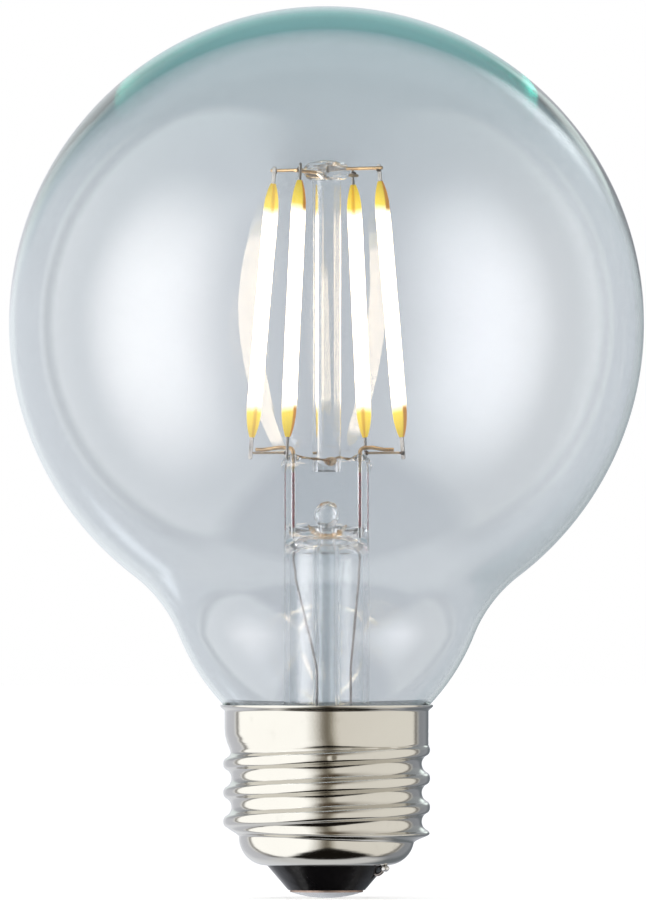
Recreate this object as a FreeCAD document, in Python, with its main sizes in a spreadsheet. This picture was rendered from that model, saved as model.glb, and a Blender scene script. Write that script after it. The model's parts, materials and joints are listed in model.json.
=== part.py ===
import FreeCAD, Part
import math
import os
import Sketcher

# Globe bulb with a screw cap and four light filaments. Millimetres and degrees.
# The bulb stands cap down: the origin is the tip of its centre contact, +Z runs up the axis,
# and +X is to the right of someone who faces it along +Y.

# Two anchor wires and two cross wires join them in pairs
filament_count = 4

SIZES = {
    # screw cap, from the contact upwards
    "solder_height": 0.75,
    "contact_inset": 0.25,
    "contact_thickness": 0.25,
    "contact_hole_radius": 0.55,
    "insulator_tip_inset": 2.65,
    "insulator_flare": 0.5,
    "insulator_foot_height": 3.1,
    "insulator_seat_height": 1.55,
    "insulator_hole_radius": 1.1,
    "shell_thickness": 0.3,
    "shell_hole_inset": 0.55,
    "cup_inset": 0.95,
    "cup_round": 3.5,
    "thread_crest_radius": 13.1,
    "thread_pitch": 3.629,
    "thread_round": 1.025,
    "thread_flat": 0.04,
    "thread_start_drop": 1.6,
    "thread_lead_height": 1.0,
    "thread_height": 10.6,
    "skirt_inset": 0.25,
    "skirt_height": 4.45,
    "lip_flare": 0.57,
    "lip_height": 0.7,
    "lip_gap": 0.07,
    "side_solder_radius": 0.9,
    "side_solder_angle": -22.0,
    # glass globe
    "globe_radius": 40.0,
    "globe_wall": 0.65,
    "neck_rise": 8.0,
    "crown_wall": 2.4,
    "crown_flattening": 1.5,
    "shoulder_round": 17.5,
    "neck_bulge_round": 28.0,
    "mouth_slope": 43.0,
    "throat_round": 2.5,
    "neck_depth": 11.0,
    "cement_gap": 0.03,
    "cement_thickness": 0.5,
    "cement_height": 6.0,
    # glass stem
    "stem_radius": 5.4,
    "stem_wall": 0.8,
    "stem_height": 42.1,
    "flare_round": 6.0,
    "flare_thickness": 0.9,
    "press_thickness": 4.0,
    "press_height": 7.5,
    "press_shoulder": 3.5,
    "ear_radius": 1.5,
    "ear_rise": 0.5,
    "exhaust_radius": 1.75,
    "exhaust_bore_radius": 1.1,
    "exhaust_socket": 0.8,
    "exhaust_tip_drop": 4.2,
    "blow_hole_radius": 1.65,
    "blow_hole_drop": 7.2,
    "blow_hole_offset": 0.7,
    "rod_radius": 1.8,
    "rod_socket": 1.8,
    "rod_length": 37.55,
    "button_radius": 2.95,
    "button_height": 2.4,
    "seal_gap": 0.01,
    # wires
    "lead_spacing": 8.4,
    "seal_wire_radius": 0.27,
    "seal_top_drop": 1.9,
    "seal_length": 7.2,
    "inner_lead_radius": 0.24,
    "inner_lead_hump": 1.3,
    "outer_lead_radius": 0.15,
    "anchor_wire_radius": 0.22,
    "anchor_wire_spread": 0.52,
    "anchor_overhang": 0.35,
    "cross_wire_radius": 0.16,
    "weld_gap": 0.02,
    # light filaments
    "filament_radius": 0.95,
    "filament_length": 33.0,
    "filament_tip_radius": 0.34,
    "filament_taper": 3.4,
    "filament_top_ring": 7.4,
    "filament_bottom_ring": 10.8,
    "filament_angle": -29.0,
    "tab_width": 0.5,
    "tab_thickness": 0.16,
    "tab_embed": 3.0,
    "top_tab_reach": 2.3,
    "bottom_tab_reach": 2.8,
    "weld_inset": 0.8,
    # driver in the cap
    "board_gap": 1.15,
    "board_thickness": 1.0,
    "capacitor_radius": 2.5,
    "capacitor_height": 5.2,
    "chip_length": 4.9,
    "chip_width": 3.9,
    "chip_height": 1.4,
    "bridge_length": 4.7,
    "bridge_width": 3.8,
    "bridge_height": 1.5,
    "leg_width": 0.5,
    "leg_thickness": 0.2,
    "leg_reach": 0.7,
    "resistor_radius": 1.0,
    "resistor_length": 4.2,
    "hookup_radius": 0.3,
    "hookup_gap": 0.06,
}

doc = FreeCAD.newDocument("globe_bulb")
sheet = doc.addObject("Spreadsheet::Sheet", "dim")
for row, (alias, number) in enumerate(SIZES.items(), 1):
    sheet.set(f"A{row}", alias)
    sheet.set(f"B{row}", str(number))
    sheet.setAlias(f"B{row}", alias)
doc.recompute()


class Size:
    """A size with its number and its formula in the sheet's cells."""

    def __init__(self, number, formula):
        self.number = float(number)
        self.formula = formula

    def __float__(self):
        return self.number

    def __add__(self, other):
        return Size(self.number + float(other), f"({self.formula} + {text(other)})")

    def __radd__(self, other):
        return Size(float(other) + self.number, f"({text(other)} + {self.formula})")

    def __sub__(self, other):
        return Size(self.number - float(other), f"({self.formula} - {text(other)})")

    def __mul__(self, other):
        return Size(self.number * float(other), f"({self.formula} * {text(other)})")

    def __truediv__(self, other):
        return Size(self.number / float(other), f"({self.formula} / {text(other)})")

    def __neg__(self):
        return Size(-self.number, f"(0 - {self.formula})")


def text(value):
    return value.formula if isinstance(value, Size) else repr(float(value))


def dim(alias):
    return Size(getattr(sheet, alias), f"dim.{alias}")


def root(size):
    return Size(math.sqrt(size.number), f"sqrt({size.formula})")


def sine(size):
    return Size(math.sin(math.radians(size.number)), f"sin({size.formula})")


def cosine(size):
    return Size(math.cos(math.radians(size.number)), f"cos({size.formula})")


def bind(item, **sizes):
    for name, size in sizes.items():
        if isinstance(size, Size):
            item.setExpression(name, size.formula)
        else:
            setattr(item, name, size)


def place(item, x=0, y=0, z=0, turn=None):
    """Put an item at a point by its placement's formulas, turned by an (axis, angle) pair."""
    if turn is not None:
        item.Placement = FreeCAD.Placement(FreeCAD.Vector(), FreeCAD.Rotation(*turn))
    for axis, size in (("x", x), ("y", y), ("z", z)):
        if isinstance(size, Size):
            item.setExpression(f"Placement.Base.{axis}", size.formula)
    numbers = FreeCAD.Vector(float(x), float(y), float(z))
    item.Placement = FreeCAD.Placement(numbers, item.Placement.Rotation)


def new_body(label):
    body = doc.addObject("PartDesign::Body", label)
    body.Label = label
    return body


def new_sketch(body, name, role="XZ_Plane"):
    sketch = body.newObject("Sketcher::SketchObject", name)
    plane = next(item for item in body.Origin.OriginFeatures if item.Role == role)
    sketch.AttachmentSupport = [(plane, "")]
    sketch.MapMode = "FlatFace"
    return sketch


def end_at(sketch, edge, point):
    """Which end of an edge lies at a point: 1 for its start, 2 for its end."""
    gaps = [(sketch.getPoint(edge, end) - point).Length for end in (1, 2)]
    return 1 if gaps[0] <= gaps[1] else 2


def pin_point(sketch, edge, end, across, up):
    """Hold one end of an edge at its two coordinates."""
    for kind, axis, size in (("DistanceX", -2, across), ("DistanceY", -1, up)):
        if abs(float(size)) < 1e-9:
            sketch.addConstraint(Sketcher.Constraint("PointOnObject", edge, end, axis))
            continue
        index = sketch.addConstraint(Sketcher.Constraint(kind, -1, 1, edge, end, float(size)))
        if isinstance(size, Size):
            sketch.setExpression(f"Constraints[{index}]", size.formula)


def set_radius(sketch, edge, size):
    index = sketch.addConstraint(Sketcher.Constraint("Radius", edge, float(size)))
    sketch.setExpression(f"Constraints[{index}]", size.formula)


def arc_between(start, end, radius, centre_left):
    """The short arc from start to end whose centre lies left or right of the way there."""
    chord = end - start
    middle = (start + end) * 0.5
    side = FreeCAD.Vector(-chord.y, chord.x, 0).normalize() * (1 if centre_left else -1)
    reach = math.sqrt(max(radius ** 2 - (chord.Length / 2) ** 2, 0))
    return Part.Arc(start, middle + side * (reach - radius), end)


def closed_outline(sketch, corners, arcs=None):
    """Draw corners (across, up) in order; arcs gives an edge a radius and its centre's side."""
    arcs = arcs or {}
    points = [FreeCAD.Vector(float(across), float(up), 0) for across, up in corners]
    first = sketch.GeometryCount
    count = len(points)
    for step, start in enumerate(points):
        end = points[(step + 1) % count]
        if step in arcs:
            radius, side = arcs[step]
            sketch.addGeometry(arc_between(start, end, float(radius), side == "left"))
        else:
            sketch.addGeometry(Part.LineSegment(start, end))
    for step, corner in enumerate(corners):
        edge = first + step
        before = first + (step - 1) % count
        here = end_at(sketch, edge, points[step])
        there = end_at(sketch, before, points[step])
        sketch.addConstraint(Sketcher.Constraint("Coincident", before, there, edge, here))
        pin_point(sketch, edge, here, *corner)
    for step, (radius, side) in arcs.items():
        set_radius(sketch, first + step, radius)


def revolve(body, name, corners, arcs=None):
    sketch = new_sketch(body, f"{name}_outline")
    closed_outline(sketch, corners, arcs)
    turned = body.newObject("PartDesign::Revolution", name)
    turned.Profile = (sketch, [""])
    turned.ReferenceAxis = (sketch, ["V_Axis"])
    turned.Angle = 360
    return turned


def cut_solid(body, kind, name, x, y, z, **sizes):
    """Cut a primitive such as a cylinder or a sphere out of a body."""
    tool = body.newObject(f"PartDesign::{kind}", name)
    bind(tool, **sizes)
    place_attached(tool, x, y, z)
    return tool


def place_attached(tool, x, y, z):
    plane = next(item for item in tool.getParentGeoFeatureGroup().Origin.OriginFeatures
                 if item.Role == "XY_Plane")
    tool.AttachmentSupport = [(plane, "")]
    tool.MapMode = "FlatFace"
    spot = FreeCAD.Vector(float(x), float(y), float(z))
    tool.AttachmentOffset = FreeCAD.Placement(spot, FreeCAD.Rotation())
    for axis, size in (("x", x), ("y", y), ("z", z)):
        if isinstance(size, Size):
            tool.setExpression(f"AttachmentOffset.Base.{axis}", size.formula)


def bent_wire(label, points, radius, bend):
    """A round wire along straight runs, with an arc of radius bend at every corner."""
    points = [FreeCAD.Vector(*(float(number) for number in point)) for point in points]
    radius = float(radius)
    edges = []
    start = points[0]
    for before, corner, after in zip(points, points[1:], points[2:]):
        back = (before - corner).normalize()
        ahead = (after - corner).normalize()
        half_angle = back.getAngle(ahead) / 2
        shorter = min((before - corner).Length, (after - corner).Length)
        reach = min(bend / math.tan(half_angle), shorter * 0.45)
        arc_radius = reach * math.tan(half_angle)
        inward = (back + ahead).normalize()
        centre = corner + inward * (arc_radius / math.sin(half_angle))
        enter = corner + back * reach
        leave = corner + ahead * reach
        edges.append(Part.LineSegment(start, enter).toShape())
        edges.append(Part.Arc(enter, centre - inward * arc_radius, leave).toShape())
        start = leave
    edges.append(Part.LineSegment(start, points[-1]).toShape())
    path = Part.Wire(edges)
    section = Part.Wire(Part.makeCircle(radius, points[0], points[1] - points[0]))
    wire = doc.addObject("Part::Feature", label)
    wire.Label = label
    wire.Shape = path.makePipeShell([section], True, True)
    return wire


def straight_wire(label, start, end, radius):
    """A round wire between two points."""
    run = end - start
    wire = doc.addObject("Part::Cylinder", label)
    wire.Label = label
    wire.Height = run.Length
    bind(wire, Radius=radius)
    wire.Placement = FreeCAD.Placement(start, FreeCAD.Rotation(FreeCAD.Vector(0, 0, 1), run))
    return wire


def ring_point(ring, angle, height):
    turn = math.radians(float(angle))
    return FreeCAD.Vector(float(ring) * math.cos(turn), float(ring) * math.sin(turn), float(height))


# Heights up the axis, each from the pieces below it
contact_bottom = dim("solder_height")
contact_top = contact_bottom + dim("contact_thickness")
shell_bottom = contact_top + dim("insulator_foot_height")
shell_floor = shell_bottom + dim("shell_thickness")
board_bottom = shell_floor + dim("insulator_seat_height")
board_top = board_bottom + dim("board_thickness")
cup_top = shell_bottom + dim("cup_round")
thread_bottom = cup_top + dim("thread_lead_height")
thread_top = thread_bottom + dim("thread_height")
skirt_top = thread_top + dim("skirt_height")
mouth = skirt_top + dim("lip_height")
seal = mouth - dim("neck_depth")
globe_centre = mouth + dim("neck_rise") + dim("globe_radius")
press_top = seal + dim("stem_height")
press_bottom = press_top - dim("press_height")
shoulder_bottom = press_bottom - dim("press_shoulder")
rod_bottom = press_top - dim("rod_socket")
rod_top = rod_bottom + dim("rod_length")
button_centre = rod_top + dim("button_height") / 2

# Radii, each from the thread or from the piece that it fits
round_pair = dim("thread_round") * 2
half_pitch = dim("thread_pitch") / 2
round_offset = root(round_pair * round_pair - half_pitch * half_pitch)
crest_centre_radius = dim("thread_crest_radius") - dim("thread_round")
root_centre_radius = crest_centre_radius + round_offset
thread_root_radius = root_centre_radius - dim("thread_round")
thread_bore_radius = thread_root_radius - dim("shell_thickness")
thread_blank_radius = dim("thread_crest_radius") - dim("thread_flat")
skirt_radius = dim("thread_crest_radius") - dim("skirt_inset")
skirt_bore_radius = skirt_radius - dim("shell_thickness")
lip_inner_radius = skirt_bore_radius + dim("lip_flare")
mouth_radius = lip_inner_radius - dim("lip_gap")
neck_radius = thread_bore_radius - dim("cement_thickness")
cup_radius = thread_root_radius - dim("cup_inset")
cup_bore_radius = cup_radius - dim("shell_thickness")
cup_flat_radius = cup_radius - dim("cup_round")
cup_bore_round = dim("cup_round") - dim("shell_thickness")
shell_hole_radius = cup_flat_radius - dim("shell_hole_inset")
insulator_flare_radius = shell_hole_radius + dim("insulator_flare")
insulator_tip_radius = insulator_flare_radius - dim("insulator_tip_inset")
contact_radius = insulator_tip_radius - dim("contact_inset")
board_radius = cup_bore_radius - dim("board_gap")
crown_round = dim("globe_radius") + dim("crown_flattening")


def knuckle_groove(body, first_root, turns):
    """Cut the thread's groove along a helix, its rounded section drawn as a few straight flanks."""
    half = dim("thread_pitch") / 2
    bend = dim("thread_round") * dim("thread_round")
    flanks = []
    for share in (0.17, 0.4):
        drop = half * share
        flanks.append((root_centre_radius - root(bend - drop * drop), drop))
    for share in (0.65, 0.86):
        drop = half * share
        rest = half - drop
        flanks.append((crest_centre_radius + root(bend - rest * rest), drop))
    flanks.append((dim("thread_crest_radius") + 1, half * 0.86))
    corners = [(radius, first_root - drop) for radius, drop in flanks[::-1]]
    corners += [(radius, first_root + drop) for radius, drop in flanks]
    sketch = new_sketch(body, "groove_section")
    closed_outline(sketch, corners)
    groove = body.newObject("PartDesign::SubtractiveHelix", "thread_groove")
    groove.Profile = (sketch, [""])
    groove.ReferenceAxis = (sketch, ["V_Axis"])
    groove.Mode = "pitch-turns-angle"
    bind(groove, Pitch=dim("thread_pitch"), Turns=turns)
    groove.LeftHanded = False
    return groove


def make_screw_shell():
    """Plated shell: cup, rolled thread that runs out under the skirt, and flared lip."""
    body = new_body("screw_shell")
    thickness = dim("shell_thickness")
    revolve(body, "cup_and_thread", [
        (shell_hole_radius, shell_bottom),
        (cup_flat_radius, shell_bottom),
        (cup_radius, cup_top),
        (thread_blank_radius, thread_bottom),
        (thread_blank_radius, thread_top),
        (thread_bore_radius, thread_top),
        (thread_bore_radius, thread_bottom - thickness),
        (cup_bore_radius, cup_top),
        (cup_flat_radius, shell_floor),
        (shell_hole_radius, shell_floor),
    ], {1: (dim("cup_round"), "left"), 7: (cup_bore_round, "right")})
    first_root = cup_top - dim("thread_start_drop")
    climb = (thread_top - first_root) / dim("thread_pitch")
    knuckle_groove(body, first_root, climb + 0.5)
    lip_foot = mouth - dim("lip_flare") - dim("lip_height") / 4
    skirt_step = skirt_radius - thread_root_radius
    revolve(body, "skirt_and_lip", [
        (thread_bore_radius, thread_top - skirt_step),
        (thread_root_radius, thread_top - skirt_step),
        (skirt_radius, thread_top),
        (skirt_radius, lip_foot),
        (skirt_radius + dim("lip_flare"), lip_foot + dim("lip_flare")),
        (skirt_radius + dim("lip_flare"), mouth),
        (lip_inner_radius, mouth),
        (skirt_bore_radius, mouth - dim("lip_flare")),
        (skirt_bore_radius, thread_top + thickness),
        (thread_bore_radius, thread_top + thickness - skirt_step),
    ])
    return body


def make_insulator():
    """Black glass plug that holds the contact clear of the shell, with a flat seat inside."""
    body = new_body("insulator")
    seat_drop = cup_top - board_bottom
    seat_radius = cup_flat_radius + root(cup_bore_round * cup_bore_round - seat_drop * seat_drop)
    hole = dim("insulator_hole_radius")
    revolve(body, "insulator_plug", [
        (hole, contact_top),
        (insulator_tip_radius, contact_top),
        (insulator_flare_radius, shell_bottom),
        (shell_hole_radius, shell_bottom),
        (shell_hole_radius, shell_floor),
        (cup_flat_radius, shell_floor),
        (seat_radius, board_bottom),
        (hole, board_bottom),
    ], {5: (cup_bore_round, "left")})
    x, y = side_wire_spot()
    bore = dim("hookup_radius") + dim("hookup_gap")
    cut_solid(body, "SubtractiveCylinder", "side_wire_bore", x, y, contact_top,
              Radius=bore, Height=board_bottom - contact_top + 1)
    return body


# The side wire drops through the insulator just inside the shell's hole
side_wire_ring = shell_hole_radius - dim("hookup_radius") * 2


def side_wire_spot():
    angle = dim("side_solder_angle")
    return side_wire_ring * cosine(angle), side_wire_ring * sine(angle)


def solder_spot():
    angle = dim("side_solder_angle")
    reach = cup_flat_radius + dim("side_solder_radius") * 0.6
    return reach * cosine(angle), reach * sine(angle)


def make_contact():
    disc = new_body("centre_contact")
    hole = dim("contact_hole_radius")
    revolve(disc, "contact_disc", [
        (hole, contact_bottom),
        (contact_radius, contact_bottom),
        (contact_radius, contact_top),
        (hole, contact_top),
    ])
    solder = new_body("contact_solder")
    reach = contact_radius
    height = dim("solder_height")
    dome_round = (reach * reach + height * height) / (height * 2)
    revolve(solder, "solder_dome", [
        (0, 0),
        (reach, contact_bottom),
        (0, contact_bottom),
    ], {0: (dome_round, "left")})
    return [disc, solder]


def make_side_solder(shell, insulator, wire):
    """Bead of solder on the shell's bottom edge, trimmed to the pieces that it wets."""
    bead = doc.addObject("Part::Sphere", "side_solder_bead")
    bind(bead, Radius=dim("side_solder_radius"))
    place(bead, *solder_spot(), shell_bottom)
    trimmed = bead
    for step, tool in enumerate((shell, insulator, wire)):
        cut = doc.addObject("Part::Cut", "shell_solder" if tool is wire else f"side_solder_trim_{step}")
        cut.Base = trimmed
        cut.Tool = tool
        trimmed = cut
    trimmed.Label = "shell_solder"
    return trimmed


def make_globe():
    """Blown clear globe with a thick crown and an ogee neck that runs down into the cap."""
    body = new_body("glass_globe")
    sketch = new_sketch(body, "globe_wall_outline")
    wall = float(dim("globe_wall"))
    radius = float(dim("globe_radius"))
    centre = FreeCAD.Vector(0, float(globe_centre), 0)
    slope = math.radians(float(dim("mouth_slope")))
    mouth_point = FreeCAD.Vector(float(mouth_radius), float(mouth), 0)
    inward = FreeCAD.Vector(-math.cos(slope), math.sin(slope), 0)
    bulge_centre = mouth_point + inward * float(dim("neck_bulge_round"))

    def ogee_points(offset):
        """Tangent points of the wall at an offset inwards, from the globe down to the neck."""
        bulge_round = float(dim("neck_bulge_round")) - offset
        shoulder_round = float(dim("shoulder_round")) + offset
        throat_round = float(dim("throat_round")) + offset
        to_bulge = bulge_centre - centre
        near = radius - offset + shoulder_round
        far = bulge_round + shoulder_round
        along = (near ** 2 - far ** 2 + to_bulge.Length ** 2) / (2 * to_bulge.Length)
        across = math.sqrt(near ** 2 - along ** 2)
        way = FreeCAD.Vector(to_bulge).normalize()
        shoulder_centre = centre + way * along + FreeCAD.Vector(-way.y, way.x, 0) * across
        leave_globe = centre + (shoulder_centre - centre).normalize() * (radius - offset)
        inflection = bulge_centre + (shoulder_centre - bulge_centre).normalize() * bulge_round
        leave_bulge = bulge_centre + FreeCAD.Vector(math.cos(slope), -math.sin(slope), 0) * bulge_round
        neck = float(neck_radius) - offset
        throat_across = neck + throat_round * (1 - math.cos(slope))
        drop = (leave_bulge.x - throat_across) / math.tan(slope)
        throat_top = FreeCAD.Vector(throat_across, leave_bulge.y - drop, 0)
        throat_foot = FreeCAD.Vector(neck, throat_top.y - throat_round * math.sin(slope), 0)
        foot = FreeCAD.Vector(neck, float(seal), 0)
        return [leave_globe, inflection, leave_bulge, throat_top, throat_foot, foot]

    outer = ogee_points(0)
    inner = ogee_points(wall)
    crown = FreeCAD.Vector(0, centre.y + radius, 0)
    side = radius - wall
    crown_inside = float(dim("crown_wall"))
    hollow_top = FreeCAD.Vector(0, crown.y - crown_inside, 0)
    rise = radius - crown_inside
    # the side arc that is level at the globe's widest ring and meets the crown's inner arc
    bend = float(crown_round)
    side_round = (bend ** 2 - side ** 2 - (rise - bend) ** 2) / (2 * (bend - side))
    crown_centre = FreeCAD.Vector(0, hollow_top.y - bend, 0)
    side_centre = FreeCAD.Vector(side - side_round, centre.y, 0)
    haunch = crown_centre + (side_centre - crown_centre).normalize() * bend
    equator = FreeCAD.Vector(side, centre.y, 0)

    chain = [
        ("arc", crown, outer[0], radius, "right"),
        ("arc", outer[0], outer[1], float(dim("shoulder_round")), "left"),
        ("arc", outer[1], outer[2], float(dim("neck_bulge_round")), "right"),
        ("line", outer[2], outer[3]),
        ("arc", outer[3], outer[4], float(dim("throat_round")), "left"),
        ("line", outer[4], outer[5]),
        ("line", outer[5], inner[5]),
        ("line", inner[5], inner[4]),
        ("arc", inner[4], inner[3], float(dim("throat_round")) + wall, "right"),
        ("line", inner[3], inner[2]),
        ("arc", inner[2], inner[1], float(dim("neck_bulge_round")) - wall, "left"),
        ("arc", inner[1], inner[0], float(dim("shoulder_round")) + wall, "right"),
        ("arc", inner[0], equator, radius - wall, "left"),
        ("arc", equator, haunch, side_round, "left"),
        ("arc", haunch, hollow_top, bend, "left"),
        ("line", hollow_top, crown),
    ]
    for kind, start, end, *curve in chain:
        if kind == "line":
            sketch.addGeometry(Part.LineSegment(start, end))
        elif start is crown:
            equator_outside = centre + FreeCAD.Vector(radius, 0, 0)
            sketch.addGeometry(Part.Arc(start, equator_outside, end))
        else:
            sketch.addGeometry(arc_between(start, end, curve[0], curve[1] == "left"))
    corner_joins = (5, 6, 14, 15)
    for edge, (kind, start, end, *curve) in enumerate(chain):
        following = (edge + 1) % len(chain)
        join = "Coincident" if edge in corner_joins else "Tangent"
        sketch.addConstraint(Sketcher.Constraint(
            join, edge, end_at(sketch, edge, end), following, end_at(sketch, following, end)))
    pin_point(sketch, 0, end_at(sketch, 0, crown), 0, globe_centre + dim("globe_radius"))
    pin_point(sketch, 0, 3, 0, globe_centre)
    pin_point(sketch, 2, end_at(sketch, 2, outer[2]), mouth_radius, mouth)
    pin_point(sketch, 5, end_at(sketch, 5, outer[5]), neck_radius, seal)
    pin_point(sketch, 7, end_at(sketch, 7, inner[5]), neck_radius - dim("globe_wall"), seal)
    hollow_height = globe_centre + dim("globe_radius") - dim("crown_wall")
    pin_point(sketch, 14, end_at(sketch, 14, hollow_top), 0, hollow_height)
    sketch.addConstraint(Sketcher.Constraint("PointOnObject", 14, 3, -2))
    set_radius(sketch, 1, dim("shoulder_round"))
    set_radius(sketch, 2, dim("neck_bulge_round"))
    set_radius(sketch, 4, dim("throat_round"))
    set_radius(sketch, 14, crown_round)
    for inside, outside in ((8, 4), (10, 2), (11, 1), (12, 0)):
        sketch.addConstraint(Sketcher.Constraint("Coincident", inside, 3, outside, 3))
    sketch.addConstraint(Sketcher.Constraint("Horizontal", 13, 3, 0, 3))
    turned = body.newObject("PartDesign::Revolution", "globe_wall")
    turned.Profile = (sketch, [""])
    turned.ReferenceAxis = (sketch, ["V_Axis"])
    turned.Angle = 360
    return body


def make_cement():
    """Ring of basing cement between the neck and the shell."""
    body = new_body("basing_cement")
    top = thread_top - (skirt_radius - thread_root_radius)
    revolve(body, "cement_ring", [
        (neck_radius, top - dim("cement_height")),
        (thread_bore_radius - dim("cement_gap"), top - dim("cement_height")),
        (thread_bore_radius - dim("cement_gap"), top),
        (neck_radius, top),
    ])
    return body


def make_stem():
    """Flared glass tube, pinched flat at its top round the seal wires, with a blow hole."""
    body = new_body("stem_flare")
    bore = dim("stem_radius") - dim("stem_wall")
    curve = dim("flare_round")
    spread = curve * (1 - math.cos(math.pi / 4))
    fall = curve * math.sin(math.pi / 4)
    cone_drop = neck_radius - dim("globe_wall") * 1.2 - dim("stem_radius") - spread
    bend_foot = seal + cone_drop
    rim_bottom = seal - dim("flare_thickness")
    inner_curve = curve + dim("stem_wall")
    inner_spread = inner_curve * (1 - math.cos(math.pi / 4))
    inner_fall = inner_curve * math.sin(math.pi / 4)
    inner_foot = bend_foot + fall - inner_fall
    inner_cone_radius = bore + inner_spread
    dome_round = bore - dim("exhaust_radius")
    dome_foot = shoulder_bottom + dim("press_shoulder") / 3 - dome_round
    socket = dim("exhaust_radius") + dim("seal_gap")
    revolve(body, "stem_blank", [
        (0, press_top),
        (dim("stem_radius") - dim("press_thickness") / 3, press_top),
        (dim("stem_radius"), press_top - dim("press_thickness") / 3),
        (dim("stem_radius"), bend_foot + fall),
        (dim("stem_radius") + spread, bend_foot),
        (dim("stem_radius") + spread + cone_drop, seal),
        (neck_radius, seal),
        (neck_radius, rim_bottom),
        (inner_cone_radius + inner_foot - rim_bottom, rim_bottom),
        (inner_cone_radius, inner_foot),
        (bore, bend_foot + fall),
        (bore, dome_foot),
        (dim("exhaust_radius"), dome_foot + dome_round),
        (0, dome_foot + dome_round),
    ], {
        1: (dim("press_thickness") / 3, "right"),
        3: (curve, "left"),
        9: (inner_curve, "right"),
        11: (dome_round, "left"),
    })
    half = dim("press_thickness") / 2
    outside = dim("stem_radius") + 1
    crest = half * 0.95
    pinch = new_sketch(body, "press_sides", "YZ_Plane")
    for sign in (1, -1):
        near = "right" if sign > 0 else "left"
        far = "left" if sign > 0 else "right"
        closed_outline(pinch, [
            ((half + dim("press_shoulder")) * sign, shoulder_bottom),
            (half * sign, press_bottom),
            (half * sign, press_top - crest),
            ((half - crest) * sign, press_top),
            ((half - crest) * sign, press_top + 1),
            ((outside + half) * sign, press_top + 1),
            ((outside + half) * sign, shoulder_bottom),
        ], {0: (dim("press_shoulder"), near), 2: (crest, far)})
    pocket = body.newObject("PartDesign::Pocket", "press_pinch")
    pocket.Profile = (pinch, [""])
    pocket.Type = "ThroughAll"
    pocket.Midplane = True
    ear_height = press_top + dim("ear_rise") - dim("ear_radius")
    for name, sign in (("left", -1), ("right", 1)):
        across = dim("lead_spacing") / 2 * sign
        ear = body.newObject("PartDesign::AdditiveSphere", f"ear_{name}")
        bind(ear, Radius=dim("ear_radius"))
        place_attached(ear, across, 0, ear_height)
        cut_solid(body, "SubtractiveCylinder", f"seal_hole_{name}", across, 0, dome_foot,
                  Radius=dim("seal_wire_radius") + dim("seal_gap"), Height=press_top + 2 - dome_foot)
    cut_solid(body, "SubtractiveCylinder", "rod_socket_hole", 0, 0, rod_bottom,
              Radius=dim("rod_radius") + dim("seal_gap"), Height=dim("rod_socket") + 1)
    socket_top = dome_foot + dome_round + dim("exhaust_socket")
    cut_solid(body, "SubtractiveCylinder", "exhaust_socket_hole", 0, 0, dome_foot + dome_round - 0.5,
              Radius=socket, Height=dim("exhaust_socket") + 0.5)
    hole_height = press_top - dim("blow_hole_drop")
    cut_solid(body, "SubtractiveCylinder", "exhaust_passage", 0, 0, socket_top - 0.1,
              Radius=dim("exhaust_bore_radius"), Height=hole_height - socket_top + 0.1)
    cut_solid(body, "SubtractiveSphere", "blow_hole", 0, -dim("blow_hole_offset"), hole_height,
              Radius=dim("blow_hole_radius"))
    return body, socket_top


def make_exhaust_tube(socket_top):
    """Thin tube that the bulb was emptied through, tipped off and closed at its lower end."""
    body = new_body("exhaust_tube")
    outside = dim("exhaust_radius")
    bore = dim("exhaust_bore_radius")
    tip = seal - dim("exhaust_tip_drop")
    wall = outside - bore
    revolve(body, "exhaust_wall", [
        (bore, socket_top),
        (outside, socket_top),
        (outside, tip + outside),
        (0, tip),
        (0, tip + wall * 2),
        (bore, tip + wall * 2 + bore),
    ], {2: (outside, "right"), 4: (bore, "left")})
    return body


def make_rod():
    """Solid glass rod with a melted button that grips the two anchor wires."""
    body = new_body("support_rod")
    radius = dim("rod_radius")
    half = dim("button_height") / 2
    reach = dim("button_radius") - half
    dome = dim("button_height") * 0.12
    dome_round = (reach * reach + dome * dome) / (dome * 2)
    revolve(body, "rod_and_button", [
        (0, rod_bottom),
        (radius, rod_bottom),
        (radius, rod_top),
        (reach, rod_top),
        (dim("button_radius"), button_centre),
        (reach, rod_top + dim("button_height")),
        (0, rod_top + dim("button_height") + dome),
    ], {3: (half, "left"), 4: (half, "left"), 5: (dome_round, "left")})
    return body


def drill_button(rod, wires):
    drilled = rod
    for step, wire in enumerate(wires):
        last = step == len(wires) - 1
        cut = doc.addObject("Part::Cut", "support_rod_drilled" if last else "support_rod_first_hole")
        cut.Base = drilled
        cut.Tool = wire
        drilled = cut
    rod.Label = "support_rod_blank"
    drilled.Label = "support_rod"
    return drilled


# The filaments hang on a cone: every one leans out by the same angle below the button
weld_span = dim("filament_length") + dim("top_tab_reach") + dim("bottom_tab_reach") - dim("weld_inset") * 2
ring_growth = dim("filament_bottom_ring") - dim("filament_top_ring")
weld_drop = root(weld_span * weld_span - ring_growth * ring_growth)
cross_height = button_centre - weld_drop
lean_angle = math.degrees(math.asin(float(ring_growth) / float(weld_span)))
tab_offset = dim("anchor_wire_radius") + dim("weld_gap") + dim("tab_thickness") / 2


def filament_turn(index):
    return dim("filament_angle").number + 360 * index / filament_count


def filament_placement(index):
    """Middle of the span between a filament's two welds, tab beside the anchor wire."""
    turn = FreeCAD.Rotation(FreeCAD.Vector(0, 0, 1), filament_turn(index))
    lean = FreeCAD.Rotation(FreeCAD.Vector(0, 1, 0), -lean_angle)
    middle_ring = (float(dim("filament_top_ring")) + float(dim("filament_bottom_ring"))) / 2
    middle_height = (float(button_centre) + float(cross_height)) / 2
    spot = turn.multVec(FreeCAD.Vector(middle_ring, float(tab_offset), middle_height))
    return FreeCAD.Placement(spot, turn.multiply(lean))


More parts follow.
